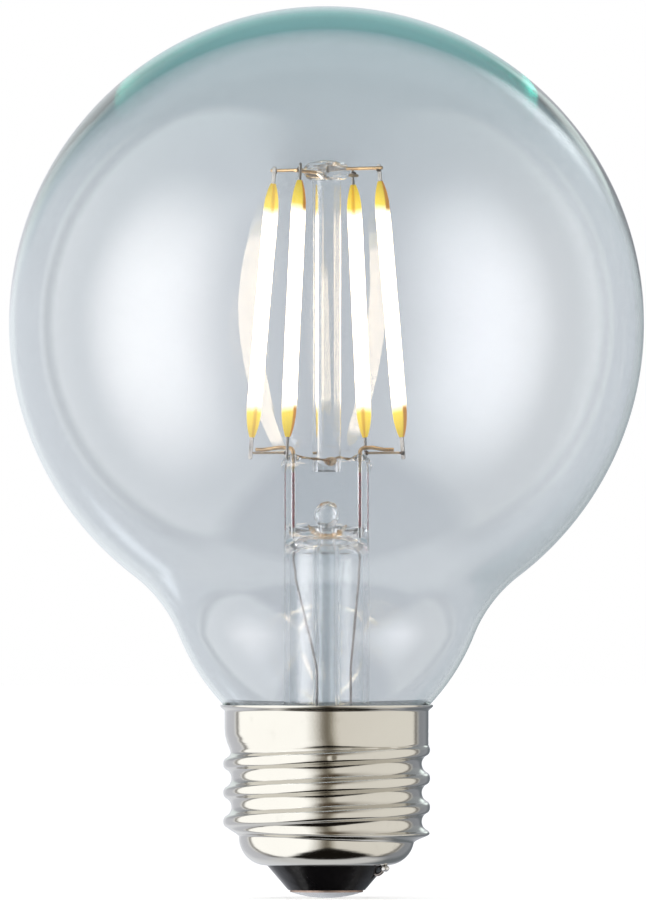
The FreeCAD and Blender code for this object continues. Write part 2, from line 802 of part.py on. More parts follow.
def make_filament(index):
    """One coated filament with a metal tab let into each end."""
    number = index + 1
    half_span = weld_span / 2
    body_top = half_span + dim("weld_inset") - dim("top_tab_reach")
    body_bottom = body_top - dim("filament_length")
    radius = dim("filament_radius")
    tip = dim("filament_tip_radius")
    taper = dim("filament_taper")
    step = radius - tip
    taper_round = (taper * taper + step * step) / (step * 2)
    pieces = []

    coat = new_body(f"led_filament_{number}")
    revolve(coat, f"coating_{number}", [
        (0, body_bottom),
        (tip, body_bottom),
        (radius, body_bottom + taper),
        (radius, body_top - taper),
        (tip, body_top),
        (0, body_top),
    ], {1: (taper_round, "left"), 3: (taper_round, "left")})
    width = dim("tab_width")
    depth = dim("tab_thickness")
    for end, low, high in (
        ("top", body_top - dim("tab_embed"), body_top + dim("top_tab_reach")),
        ("bottom", body_bottom - dim("bottom_tab_reach"), body_bottom + dim("tab_embed")),
    ):
        slot = coat.newObject("PartDesign::SubtractiveBox", f"slot_{end}_{number}")
        bind(slot, Length=width, Width=depth, Height=high - low)
        place_attached(slot, -(width / 2), -(depth / 2), low)
        tab = new_body(f"{end}_tab_{number}")
        sketch = new_sketch(tab, f"{end}_tab_outline_{number}")
        outer, buried = (high, low) if end == "top" else (low, high)
        nose = width / 4 * (1 if end == "top" else -1)
        closed_outline(sketch, [
            (-(width / 2), buried),
            (width / 2, buried),
            (width / 2, outer - nose),
            (width / 4, outer),
            (-(width / 4), outer),
            (-(width / 2), outer - nose),
        ])
        pad = tab.newObject("PartDesign::Pad", f"{end}_tab_sheet_{number}")
        pad.Profile = (sketch, [""])
        bind(pad, Length=depth)
        pad.Midplane = True
        pieces.append(tab)
    pieces.append(coat)
    for piece in pieces:
        piece.Placement = filament_placement(index)
    return pieces


def make_anchor_wires():
    """Two wires through the button, one above the other, each holding an opposite pair."""
    wires = []
    half_spread = float(dim("anchor_wire_spread")) / 2
    for index, (place_name, side) in enumerate((("upper", 1), ("lower", -1))):
        label = f"anchor_wire_{place_name}"
        height = float(button_centre) + half_spread * side
        reach = float(dim("filament_top_ring") + dim("tab_width") / 2 + dim("anchor_overhang"))
        start = ring_point(reach, filament_turn(index), height)
        end = ring_point(-reach, filament_turn(index), height)
        wires.append(straight_wire(label, start, end, dim("anchor_wire_radius")))
    return wires


def cross_wire_ends(first, second):
    """A chord between two filament feet, stopped at the faces of their tabs."""
    start = ring_point(dim("filament_bottom_ring"), filament_turn(first), cross_height)
    end = ring_point(dim("filament_bottom_ring"), filament_turn(second), cross_height)
    way = (end - start).normalize()
    radius = float(dim("cross_wire_radius"))
    gap = float(dim("weld_gap"))
    half_tab = float(dim("tab_thickness")) / 2
    slant = math.cos(math.radians(180 / filament_count))
    flank = radius * math.sqrt(1 - slant ** 2)
    start_clear = (float(tab_offset) + half_tab + flank + gap) / slant
    end_clear = (float(tab_offset) - half_tab - flank - gap) / slant
    return start + way * start_clear, end + way * end_clear


def make_lower_wires():
    """Two cross wires under the filament feet, and the leads that bring the current to them."""
    pieces = []
    half_spacing = dim("lead_spacing") / 2
    seal_top = press_top - dim("seal_top_drop")
    for name, sign, first, weld_share in (("right", 1, 0, 0.34), ("left", -1, 2, 0.22)):
        start, end = cross_wire_ends(first, first + 1)
        pieces.append(straight_wire(f"cross_wire_{name}", start, end, dim("cross_wire_radius")))

        seal_wire = doc.addObject("Part::Cylinder", f"seal_wire_{name}")
        seal_wire.Label = f"seal_wire_{name}"
        bind(seal_wire, Radius=dim("seal_wire_radius"), Height=dim("seal_length"))
        place(seal_wire, half_spacing * sign, 0, seal_top - dim("seal_length"))
        pieces.append(seal_wire)

        weld = start + (end - start) * weld_share
        rest = float(dim("cross_wire_radius") + dim("inner_lead_radius") + dim("weld_gap"))
        across = float(half_spacing) * sign
        hump = float(press_top + dim("inner_lead_hump"))
        bend_spot = FreeCAD.Vector(across, 0, 0) * 0.58 + FreeCAD.Vector(weld.x, weld.y, 0) * 0.42
        tail = (FreeCAD.Vector(weld.x, weld.y, 0) - FreeCAD.Vector(across, 0, 0)).normalize() * 0.6
        pieces.append(bent_wire(f"inner_lead_{name}", [
            (across, 0, seal_top),
            (across, 0, hump - 0.1),
            (bend_spot.x, bend_spot.y, hump),
            (weld.x - tail.x, weld.y - tail.y, weld.z + rest),
            (weld.x + tail.x, weld.y + tail.y, weld.z + rest),
        ], dim("inner_lead_radius"), 0.6))
    return pieces


def make_outer_leads():
    """Leads from the seal wires down through the stem to the driver board."""
    start_height = press_top - dim("seal_top_drop") - dim("seal_length")
    clear = dim("exhaust_radius") + dim("outer_lead_radius") + 0.7
    straight_to = shoulder_bottom - dim("press_shoulder")
    pieces = []
    for name, sign, near_x, pad_x in (("left", -1, 0.45, 0.55), ("right", 1, 1.15, 1.6)):
        across = dim("lead_spacing") / 2 * sign
        pieces.append(bent_wire(f"outer_lead_{name}", [
            (across, 0, start_height),
            (across, 0, straight_to + 1.5),
            (clear * near_x * sign, -clear * (1.05 if name == "left" else 0.35), straight_to - 12),
            (clear * near_x * sign, -clear * (1.05 if name == "left" else 0.6), seal + 1),
            (clear * pad_x * sign, -clear * 1.3, seal - 4),
            (clear * pad_x * sign, -clear * 1.3, board_top),
        ], dim("outer_lead_radius"), 1.2))
    return pieces


def make_driver():
    """Round driver board on the insulator's seat, with its parts and the two hook-up wires."""
    board = new_body("driver_board")
    sketch = new_sketch(board, "board_outline", "XY_Plane")
    sketch.addGeometry(Part.Circle(FreeCAD.Vector(), FreeCAD.Vector(0, 0, 1), float(board_radius)))
    sketch.addConstraint(Sketcher.Constraint("Coincident", 0, 3, -1, 1))
    set_radius(sketch, 0, board_radius)
    x, y = side_wire_spot()
    bore = dim("hookup_radius") + dim("hookup_gap")
    for edge, (across, up) in enumerate(((x, y), (0, 0)), 1):
        centre = FreeCAD.Vector(float(across), float(up), 0)
        sketch.addGeometry(Part.Circle(centre, FreeCAD.Vector(0, 0, 1), float(bore)))
        pin_point(sketch, edge, 3, across, up)
        set_radius(sketch, edge, bore)
    pad = board.newObject("PartDesign::Pad", "board_sheet")
    pad.Profile = (sketch, [""])
    bind(pad, Length=dim("board_thickness"))
    place(board, 0, 0, board_bottom)

    can = new_body("smoothing_capacitor")
    radius = dim("capacitor_radius")
    height = dim("capacitor_height")
    bead = radius * 0.12
    revolve(can, "capacitor_can", [
        (0, 0),
        (radius, 0),
        (radius, height * 0.18),
        (radius, height * 0.3),
        (radius, height - bead),
        (radius - bead, height),
        (0, height),
    ], {2: (height * 0.07, "right"), 4: (bead, "left")})
    place(can, -(board_radius * 0.58), board_radius * 0.3, board_top)

    chip = make_leaded_chip("driver_chip", dim("chip_length"), dim("chip_width"), dim("chip_height"), 4)
    place(chip, board_radius * 0.12, board_radius * 0.62, board_top)
    bridge = make_leaded_chip("bridge_rectifier", dim("bridge_length"), dim("bridge_width"),
                              dim("bridge_height"), 2)
    place(bridge, board_radius * 0.56, board_radius * 0.05, board_top)

    fuse = new_body("fuse_resistor")
    length = dim("resistor_length")
    thick = dim("resistor_radius")
    waist = thick * 0.86
    cap_length = length * 0.22
    lead = dim("hookup_radius")
    tail = length / 2 + 1
    revolve(fuse, "resistor_body", [
        (0, -tail),
        (lead, -tail),
        (lead, -(length / 2)),
        (thick * 0.7, -(length / 2)),
        (thick, cap_length / 2 - length / 2),
        (thick, cap_length - length / 2),
        (waist, cap_length * 1.3 - length / 2),
        (waist, length / 2 - cap_length * 1.3),
        (thick, length / 2 - cap_length),
        (thick, length / 2 - cap_length / 2),
        (thick * 0.7, length / 2),
        (lead, length / 2),
        (lead, tail),
        (0, tail),
    ])
    place(fuse, -(board_radius * 0.3), -(board_radius * 0.68), board_top + thick,
          turn=(FreeCAD.Vector(0, 1, 0), 90))

    live = doc.addObject("Part::Cylinder", "live_wire")
    live.Label = "live_wire"
    bind(live, Radius=lead, Height=board_top - contact_bottom)
    place(live, 0, 0, contact_bottom)

    solder_x, solder_y = solder_spot()
    cone_reach = insulator_flare_radius - insulator_tip_radius
    cone_slope = dim("insulator_foot_height") / cone_reach
    dip = contact_top + (side_wire_ring - insulator_tip_radius) * cone_slope - lead * 2
    side = bent_wire("neutral_wire", [
        (x, y, board_top),
        (x, y, dip),
        (solder_x, solder_y, shell_bottom - dim("side_solder_radius") * 0.55),
    ], lead, 0.4)
    return [board, can, chip, bridge, fuse, live, side], side


def make_leaded_chip(label, length, width, height, legs):
    """Moulded package with a row of flat legs along both long sides."""
    chip = new_body(label)
    sketch = new_sketch(chip, f"{label}_end", "YZ_Plane")
    half = width / 2
    slope = height * 0.12
    standoff = dim("leg_thickness")
    closed_outline(sketch, [
        (-(half - slope), standoff),
        (half - slope, standoff),
        (half, height / 2 + standoff / 2),
        (half - slope, height),
        (-(half - slope), height),
        (-half, height / 2 + standoff / 2),
    ])
    pad = chip.newObject("PartDesign::Pad", f"{label}_moulding")
    pad.Profile = (sketch, [""])
    bind(pad, Length=length)
    pad.Midplane = True
    pitch = length / legs
    for index in range(legs):
        foot = chip.newObject("PartDesign::AdditiveBox", f"{label}_leg_{index + 1}")
        bind(foot, Length=dim("leg_width"), Width=width + dim("leg_reach") * 2, Height=standoff * 1.5)
        place_attached(foot, pitch * (index + 0.5) - length / 2 - dim("leg_width") / 2,
                       -(half + dim("leg_reach")), 0)
    return chip


def build():
    shell = make_screw_shell()
    insulator = make_insulator()
    stem, socket_top = make_stem()
    driver, side_wire = make_driver()
    anchors = make_anchor_wires()
    rod = drill_button(make_rod(), anchors)
    pieces = [shell, insulator, make_globe(), make_cement(), stem, make_exhaust_tube(socket_top), rod]
    pieces += make_contact() + anchors + make_lower_wires() + make_outer_leads() + driver
    pieces.append(make_side_solder(shell, insulator, side_wire))
    for index in range(filament_count):
        pieces += make_filament(index)
    return pieces


def check_and_write(pieces):
    doc.recompute()
    for item in doc.Objects:
        if "Invalid" in item.State or "Error" in item.State:
            raise RuntimeError(f"{item.Name} did not compute: {item.State}")
    os.makedirs("parts", exist_ok=True)
    for piece in pieces:
        shape = piece.Shape
        if shape.isNull() or not shape.isValid():
            raise RuntimeError(f"{piece.Label} has no valid shape")
        shape.exportStep(f"parts/{piece.Label}.step")


check_and_write(build())
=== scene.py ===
import json
import math

import bmesh
import bpy
from mathutils import Matrix, Vector, noise


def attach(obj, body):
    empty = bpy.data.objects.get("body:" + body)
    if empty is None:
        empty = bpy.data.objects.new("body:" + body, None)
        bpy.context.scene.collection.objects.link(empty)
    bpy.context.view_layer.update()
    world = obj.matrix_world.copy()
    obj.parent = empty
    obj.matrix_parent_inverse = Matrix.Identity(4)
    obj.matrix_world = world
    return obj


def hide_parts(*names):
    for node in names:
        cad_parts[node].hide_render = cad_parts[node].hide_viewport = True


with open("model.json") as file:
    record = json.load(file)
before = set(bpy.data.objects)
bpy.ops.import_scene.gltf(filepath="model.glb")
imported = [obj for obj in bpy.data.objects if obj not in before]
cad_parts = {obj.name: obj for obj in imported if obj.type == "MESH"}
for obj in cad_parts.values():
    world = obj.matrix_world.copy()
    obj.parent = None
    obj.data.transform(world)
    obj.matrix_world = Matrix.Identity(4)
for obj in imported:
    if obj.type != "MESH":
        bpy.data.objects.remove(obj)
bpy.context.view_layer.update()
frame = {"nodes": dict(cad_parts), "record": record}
nodes = frame["nodes"]
mm = 0.001
print("frame:", len(nodes), "nodes")


# a socket that takes part in sums
class Link:
    def __init__(self, finish, socket):
        self.finish = finish
        self.socket = socket

    def sum(self, operation, first, second):
        return self.finish.node("ShaderNodeMath", {"operation": operation}, {0: first, 1: second})

    def __add__(self, other):
        return self.sum("ADD", self, other)

    def __radd__(self, other):
        return self.sum("ADD", other, self)

    def __sub__(self, other):
        return self.sum("SUBTRACT", self, other)

    def __rsub__(self, other):
        return self.sum("SUBTRACT", other, self)

    def __mul__(self, other):
        return self.sum("MULTIPLY", self, other)

    def __rmul__(self, other):
        return self.sum("MULTIPLY", other, self)


class Finish:
    def __init__(self, name, owner=None):
        self.made = owner or bpy.data.materials.new(name)
        self.made.use_nodes = True
        self.tree = self.made.node_tree
        self.shader = self.tree.nodes.get("Principled BSDF")
        self.end = next(n for n in self.tree.nodes if n.bl_idname.startswith("ShaderNodeOutput"))

    # any node: its settings first, then what its sockets hold or are linked to
    def node(self, kind, settings=None, inputs=None, out=0):
        made = self.tree.nodes.new(kind)
        for key, value in (settings or {}).items():
            if key == "stops":
                ramp = made.color_ramp.elements
                while len(ramp) < len(value):
                    ramp.new(1)
                for stop, (spot, colour) in zip(ramp, value):
                    stop.position = spot
                    stop.color = (*colour, 1) if isinstance(colour, tuple) else (colour, colour, colour, 1)
            else:
                setattr(made, key, value)
        for key, value in (inputs or {}).items():
            self.join(made.inputs[key], value)
        return Link(self, made.outputs[out])

    def join(self, socket, value):
        if isinstance(value, Link):
            self.tree.links.new(value.socket, socket)
        elif isinstance(value, tuple) and socket.type == "RGBA":
            socket.default_value = (*value, 1)
        else:
            socket.default_value = value

    def set(self, **values):
        names = {"colour": "Base Color", "rough": "Roughness", "metal": "Metallic", "normal": "Normal",
                 "ior": "IOR", "gloss": "Specular IOR Level", "clear": "Transmission Weight",
                 "coat": "Coat Weight", "glow": "Emission Color", "glowPower": "Emission Strength"}
        for key, value in values.items():
            self.join(self.shader.inputs[names[key]], value)

    def spot(self):
        return self.node("ShaderNodeTexCoord", out="Object")

    def grain(self, scale, detail=3.0, rough=0.5, stretch=None):
        spot = self.spot()
        if stretch:
            spot = self.node("ShaderNodeMapping", inputs={"Vector": spot, "Scale": stretch})
        return self.node("ShaderNodeTexNoise", inputs={
            "Vector": spot, "Scale": scale, "Detail": detail, "Roughness": rough})

    def ramp(self, value, *stops):
        return self.node("ShaderNodeValToRGB", {"stops": stops}, {"Fac": value})

    def blend(self, share, first, second):
        return self.node("ShaderNodeMix", {"data_type": "RGBA"}, {0: share, 6: first, 7: second}, 2)

    def dent(self, height, strength, depth):
        return self.node("ShaderNodeBump", inputs={"Height": height, "Strength": strength, "Distance": depth})


def clearGlass():
    # the grey-blue of tint and streak is painted shade: it stands in for a grey-blue backdrop seen through the
    # glass
    look = {"tint": (0.712, 0.722, 0.757), "streak": (0.740, 0.750, 0.782), "paintedRimLight": (0.800, 0.806, 0.833),
            "depthTint": (0.30, 0.78, 0.74), "density": 72.0, "ior": 1.62, "perHeight": 8.9}
    f = Finish("clearGlass")
    streaks = f.grain(28, 2, 0.4, (1, 1, 0.35))
    body = f.blend(f.ramp(streaks, (0.35, 0.0), (0.75, 1.0)), look["tint"], look["streak"])
    facing = f.node("ShaderNodeLayerWeight", inputs={"Blend": 0.5}, out="Facing")
    height = f.node("ShaderNodeSeparateXYZ", inputs={0: f.spot()}, out="Z")
    rise = height * look["perHeight"]           # 1 at the crown
    # painted light: the glass colour turns paler towards its grazing edges, less so near the crown
    paintedRimLight = f.ramp(facing, (0.08, 0.0), (0.45, 1.0)) * f.ramp(rise, (0.76, 1.0), (0.92, 0.15))
    f.set(colour=f.blend(paintedRimLight, body, look["paintedRimLight"]), rough=0.0, clear=1.0, ior=look["ior"])
    haze = f.node("ShaderNodeVolumeAbsorption",
                  inputs={"Color": look["depthTint"], "Density": look["density"]})
    f.join(f.end.inputs["Volume"], haze)
    return f.made


def stemGlass():
    look = {"tint": (0.90, 0.925, 0.935), "streak": (0.95, 0.96, 0.965), "clear": 0.965, "ior": 1.56}
    f = Finish("stemGlass")
    draw = f.grain(160, 3, 0.5, (1, 1, 0.06))   # lines left by drawing the tube
    f.set(colour=f.blend(draw, look["tint"], look["streak"]), rough=0.0, clear=look["clear"], ior=look["ior"],
          normal=f.dent(draw, 0.12, 0.0002))
    return f.made


def nickelPlate():
    look = {"bright": (0.63, 0.615, 0.575), "dull": (0.55, 0.535, 0.495), "rough": (0.09, 0.18)}
    f = Finish("nickelPlate")
    smear = f.grain(90, 4, 0.6)
    lines = f.grain(60, 3, 0.6, (1, 1, 22))     # faint turning marks round the shell
    pits = f.grain(3200, 3, 0.6)                # fine orange peel of the plating
    scuff = f.ramp(f.grain(420, 5, 0.7), (0.58, 0.0), (0.72, 1.0))
    low, high = look["rough"]
    f.set(colour=f.blend(smear * 0.7 + scuff * 0.3, look["bright"], look["dull"]), metal=1.0,
          rough=smear * (high - low) * 0.6 + scuff * (high - low) * 0.4 + low,
          normal=f.dent(lines * 0.55 + smear * 0.35 + pits * 0.1, 0.12, 0.0003))
    return f.made


def wireMetal(name, bright, dull, rough):
    f = Finish(name)
    pull = f.grain(700, 4, 0.6)
    f.set(colour=f.blend(f.ramp(pull, (0.35, 0.0), (0.7, 1.0)), bright, dull), metal=1.0,
          rough=pull * 0.2 + rough, normal=f.dent(pull, 0.25, 0.0001))
    return f.made


def blackGlass():
    f = Finish("blackGlass")
    flow = f.grain(220, 3, 0.5)
    f.set(colour=f.blend(flow, (0.003, 0.003, 0.004), (0.014, 0.013, 0.014)), rough=flow * 0.2 + 0.06,
          gloss=0.2, normal=f.dent(flow, 0.3, 0.0006))
    return f.made


def solderMetal():
    f = Finish("solder")
    frost = f.grain(900, 4, 0.6)
    pool = f.grain(260, 2, 0.5)
    f.set(colour=f.blend(frost, (0.72, 0.72, 0.73), (0.52, 0.51, 0.50)), metal=1.0,
          rough=frost * 0.25 + 0.16, normal=f.dent(pool * 0.7 + frost * 0.3, 0.35, 0.0003))
    return f.made


def filamentCoat():
    look = {"amber": (0.84, 0.50, 0.010), "cream": (1.0, 0.80, 0.42), "stripe": (0.62, 0.23, 0.003),
            "tipGlow": (0.48, 0.37, 0.03), "endGlow": (1.05, 0.84, 0.12), "litGlow": (1.0, 0.78, 0.56),
            "stripeGlow": (0.34, 0.13, 0.0), "power": 7.4, "dim": 0.3}
    f = Finish("filamentCoat")
    along = f.node("ShaderNodeAttribute", {"attribute_name": "along"}, out="Fac")
    stripe = f.node("ShaderNodeAttribute", {"attribute_name": "stripe"}, out="Fac")
    lumps = f.grain(900, 3, 0.6)
    lit = along + lumps * 0.05 - 0.025          # 0 at the tips, 1 where the coat glows fully
    power = look["power"]
    tip, end, dark = (tuple(c / power for c in look[name]) for name in ("tipGlow", "endGlow", "stripeGlow"))
    dim = tuple(c * look["dim"] for c in look["litGlow"])
    body = f.ramp(lit, (0.0, look["amber"]), (0.52, look["amber"]), (0.70, look["cream"]))
    glow = f.ramp(lit, (0.0, tip), (0.50, end), (0.64, dim), (0.80, look["litGlow"]))
    f.set(colour=f.blend(stripe, body, look["stripe"]), rough=lumps * 0.25 + 0.4, gloss=0.2,
          normal=f.dent(lumps, 0.3, 0.0002), glowPower=power, glow=f.blend(stripe, glow, dark))
    f.made.cycles.emission_sampling = "NONE"
    return f.made


# glass tinted brown and gold: painted warm reflections of the glowing filaments, the brown also painted shade along
# glass edges
def paintedGlintGlass(name, brown, pale, clear, scale):
    f = Finish(name)
    cloud = f.grain(scale, 3, 0.6)
    f.set(colour=f.blend(f.ramp(cloud, (0.42, 0.0), (0.58, 1.0)), brown, pale), rough=0.04, clear=clear,
          ior=1.56, normal=f.dent(cloud, 0.4, 0.0003))
    return f.made


# matt stuff with specks of two colours
def grainy(name, first, second, rough, scale, coat=0.0):
    f = Finish(name)
    speck = f.grain(scale, 5, 0.65)
    f.set(colour=f.blend(f.ramp(speck, (0.38, 0.0), (0.64, 1.0)), first, second),
          rough=speck * 0.2 + rough, coat=coat, normal=f.dent(speck, 0.3, 0.0002))
    return f.made


finishes = {
    "clear_glass": clearGlass(),
    "stem_glass": stemGlass(),
    "nickel_plate": nickelPlate(),
    "nickel_wire": wireMetal("nickelWire", (0.52, 0.36, 0.19), (0.24, 0.16, 0.085), 0.26),
    "tab_metal": wireMetal("tabMetal", (0.30, 0.29, 0.27), (0.17, 0.16, 0.15), 0.36),
    "seal_copper": grainy("sealCopper", (0.50, 0.035, 0.045), (0.30, 0.02, 0.03), 0.3, 900, 0.4),
    "filament_coating": filamentCoat(),
    "black_glass": blackGlass(),
    "contact_brass": wireMetal("contactBrass", (0.40, 0.30, 0.255), (0.24, 0.175, 0.15), 0.36),
    "solder": solderMetal(),
    "basing_cement": grainy("basingCement", (0.62, 0.55, 0.45), (0.50, 0.43, 0.34), 0.7, 600),
    "board_laminate": grainy("boardLaminate", (0.03, 0.20, 0.09), (0.02, 0.13, 0.06), 0.3, 900, 0.3),
    "black_moulding": grainy("blackMoulding", (0.02, 0.02, 0.022), (0.045, 0.044, 0.045), 0.5, 1500),
    "capacitor_sleeve": grainy("capacitorSleeve", (0.02, 0.03, 0.07), (0.035, 0.045, 0.09), 0.25, 500, 0.3),
    "resistor_lacquer": grainy("resistorLacquer", (0.12, 0.35, 0.31), (0.08, 0.27, 0.24), 0.25, 700, 0.4),
    "hookup_copper": wireMetal("hookupTinned", (0.66, 0.65, 0.63), (0.46, 0.44, 0.42), 0.25),
}
extras = {
    "weldDark": wireMetal("weldDark", (0.12, 0.085, 0.06), (0.05, 0.035, 0.028), 0.4),
    "leadGrey": wireMetal("leadGrey", (0.34, 0.31, 0.30), (0.16, 0.14, 0.135), 0.3),
    # the two melt finishes carry painted warm reflections of the filaments, the brown also painted shade
    "paintedWarmEdge": paintedGlintGlass("paintedWarmEdge", (0.30, 0.17, 0.07), (0.98, 0.82, 0.60), 0.6, 900),
    "paintedGoldGlint": paintedGlintGlass("paintedGoldGlint", (0.70, 0.36, 0.11), (1.0, 0.94, 0.82), 1.0, 1500),
}
for part in frame["record"]["subparts"]:
    mesh = nodes[part["node"]].data
    mesh.materials.clear()
    mesh.materials.append(finishes[part["material_slot"]])
for hand in ("left", "right"):
    nodes[f"outer_lead_{hand}"].data.materials[0] = extras["leadGrey"]
print("finishes:", len(finishes) + len(extras))


def addPiece(name, mesh, slot, *replaced):
    piece = bpy.data.objects.new(name, mesh)
    bpy.context.scene.collection.objects.link(piece)
    mesh.materials.append(finishes[slot])
    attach(piece, "root")
    if replaced:
        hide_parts(*replaced)
    return piece


def closeMesh(name, grid, sharp=40):
    grid.normal_update()
    bmesh.ops.recalc_face_normals(grid, faces=grid.faces)
    mesh = bpy.data.meshes.new(name)
    grid.to_mesh(mesh)
    grid.free()
    mesh.shade_smooth()
    mesh.set_sharp_from_angle(angle=math.radians(sharp))
    return mesh


# rows of points, joined to a closed skin; a row of one point is a pole
def skinRows(grid, rows, loop=False):
    made = [[grid.verts.new(spot) for spot in row] for row in rows]
    pairs = list(zip(made, made[1:]))
    if loop:
        pairs.append((made[-1], made[0]))
    for low, high in pairs:
        count = max(len(low), len(high))
        for step in range(count):
            ahead = (step + 1) % count
            corners = [low[step % len(low)], low[ahead % len(low)],
                       high[ahead % len(high)], high[step % len(high)]]
            unique = list(dict.fromkeys(corners))
            if len(unique) > 2:
                grid.faces.new(unique)


def clamp(value):
    return min(max(value, 0), 1)


def smooth(share):
    share = clamp(share)
    return share * share * (3 - 2 * share)


def circle(segments):
    return [2 * math.pi * step / segments for step in range(segments)]


def ring(radius, height, segments):
    if radius < 1e-6:
        return [Vector((0, 0, height * mm))]
    return [Vector((radius * math.cos(t), radius * math.sin(t), height)) * mm for t in circle(segments)]


def arc(centre, radius, start, end, count):
    spots = []
    for step in range(count + 1):
        turn = math.radians(start + (end - start) * step / count)
        spots.append((centre[0] + radius * math.cos(turn), centre[1] + radius * math.sin(turn)))
    return spots


globe = {"radius": 40.0, "centre": 72.35, "wall": 0.65, "crownWall": 2.0, "crownRound": 40.2,
         "shoulder": 17.5, "bulge": 28.0, "mouth": (13.054, 24.35), "slope": 43.0, "throat": 2.5,
         "neck": 11.204, "foot": 13.35, "footRise": 1.5, "segments": 240,
         "offCentre": 1.7, "backEase": 0.05, "backFoot": 32, "backRise": 16}


def angleOf(centre, spot):
    return math.degrees(math.atan2(spot[1] - centre[1], spot[0] - centre[0]))


# the run from the globe's side down to the foot of the neck, and the angle at which it leaves the globe
def neckOutline(inset):
    g = globe
    slope = math.radians(g["slope"])
    mouthRadius, mouthHeight = g["mouth"]
    bulgeCentre = Vector((mouthRadius - g["bulge"] * math.cos(slope),
                          mouthHeight + g["bulge"] * math.sin(slope)))
    centre = Vector((0, g["centre"]))
    bulge = g["bulge"] - inset
    shoulder = g["shoulder"] + inset
    throat = g["throat"] + inset
    reach = bulgeCentre - centre
    near = g["radius"] - inset + shoulder
    far = bulge + shoulder
    along = (near ** 2 - far ** 2 + reach.length ** 2) / (2 * reach.length)
    across = math.sqrt(near ** 2 - along ** 2)
    way = reach.normalized()
    shoulderCentre = centre + way * along + Vector((-way.y, way.x)) * across
    leave = angleOf(centre, shoulderCentre)
    turn = angleOf(shoulderCentre, bulgeCentre)
    back = angleOf(shoulderCentre, centre)
    outline = arc(shoulderCentre, shoulder, back, turn + (360 if turn < back - 180 else 0), 40)
    outline += arc(bulgeCentre, bulge, angleOf(bulgeCentre, shoulderCentre), -g["slope"], 24)[1:]
    neck = g["neck"] - inset
    throatCentre = Vector((neck + throat, 0))
    top = outline[-1]
    throatAcross = neck + throat * (1 - math.cos(slope))
    throatTop = top[1] - (top[0] - throatAcross) / math.tan(slope)
    throatCentre.y = throatTop - throat * math.sin(slope)
    outline += arc(throatCentre, throat, 180 - g["slope"], 180, 8)
    outline += [(neck, g["foot"] + g["footRise"]), (neck, g["foot"])]
    return leave, outline


# the back of the blown globe bulges a little to one side
def blown(spot):
    g = globe
    way = Vector((spot.x, spot.y, spot.z - g["centre"] * mm))
    if way.y <= 0 or way.length < 1e-6:
        return spot
    way.normalize()
    rise = smooth((spot.z / mm - g["backFoot"]) / g["backRise"])
    return spot - way * (mm * rise * way.y ** 2 * (g["offCentre"] * way.x + g["backEase"]))


def makeGlobe():
    g = globe
    leave, neck = neckOutline(0)
    outside = arc((0, g["centre"]), g["radius"], 90, leave, 110) + neck[1:]
    leaveInside, neckInside = neckOutline(g["wall"])
    girth = g["radius"] - g["wall"]
    rise = g["radius"] - g["crownWall"]
    crown = g["crownRound"]
    girthRound = (crown ** 2 - girth ** 2 - (rise - crown) ** 2) / (2 * (crown - girth))
    crownCentre = (0, g["centre"] + rise - crown)
    girthCentre = (girth - girthRound, g["centre"])
    haunch = angleOf(crownCentre, girthCentre)
    inside = arc(crownCentre, crown, 90, haunch, 40)
    inside += arc(girthCentre, girthRound, haunch, 0, 40)[1:]
    inside += arc((0, g["centre"]), girth, 0, leaveInside, 40)[1:] + neckInside[1:]
    outline = outside + inside[::-1]
    grid = bmesh.new()
    skinRows(grid, [[blown(spot) for spot in ring(max(r, 0), z, g["segments"])] for r, z in outline])
    piece = addPiece("globeGlass", closeMesh("globeGlass", grid), "clear_glass", "glass_globe")
    piece.visible_shadow = False


makeGlobe()
for name in ("stem_flare", "exhaust_tube", "support_rod"):
    nodes[name].visible_shadow = False
print("globe done")


shell = {"bottom": 4.1, "wall": 0.3, "hole": 7.004, "cup": 11.054, "cupRound": 3.5, "cupTop": 7.6,
         "threadFoot": 8.6, "threadTop": 19.2, "crest": 13.1, "root": 12.004, "pitch": 3.629,
         "crestRound": 0.8, "firstRoot": 6.0, "turns": 4.137, "runOut": 0.25,
         "skirt": 12.85, "lip": 13.42, "mouth": 24.35, "lipFoot": 23.605, "lipEdge": 0.06,
         "ridgeFoot": 7.35, "ridgeLean": 0.45, "ridgeRise": 1.35, "ridgeProud": 0.15,
         "fadeStart": 0.7, "fadeSpan": 0.9, "gentleSlope": 0.4, "gentleDrop": 1.0,
         "rollMarks": ((21.0, 0.2), (20.0, 0.32)), "rollDepth": 0.02,
         "crimp": (-87.1, 17.75), "crimpDepth": 0.07, "crimpWidth": 0.3,
         "softThread": 0.5, "softSteep": 0.3, "softGentle": 0.4, "softSkirt": 0.25,
         "rowsFoot": 0.02, "rowsTop": 0.3, "lipStart": 0.15, "lipEase": 0.1,
         "rowStep": 0.085, "segments": 288}


def softMin(first, second, width):
    share = max(width - abs(first - second), 0) / width
    return min(first, second) - share * share * width / 4


def softMax(first, second, width):
    return -softMin(-first, -second, width)


# the rolled groove alone: round crests and round roots that meet without a flank
def grooveRadius(turn, height):
    s = shell
    loops = turn / (2 * math.pi)
    phase = (height - s["firstRoot"]) / s["pitch"] - loops
    last = math.floor(s["turns"] - loops)
    best = min(max(round(phase), 0), last)
    drop = min(abs(phase - best), 0.5) * s["pitch"]
    if best == last and phase > best:           # the last groove opens into the skirt
        drop *= 1 - clamp((loops - s["turns"] % 1) / s["runOut"])
    half = s["pitch"] / 2
    depth = s["crest"] - s["root"]
    both = (half ** 2 + depth ** 2) / (2 * depth)
    rootRound = both - s["crestRound"]
    if drop < half * rootRound / both:
        return s["root"] + rootRound - math.sqrt(rootRound ** 2 - drop ** 2)
    return s["crest"] - s["crestRound"] + math.sqrt(s["crestRound"] ** 2 - (half - drop) ** 2)


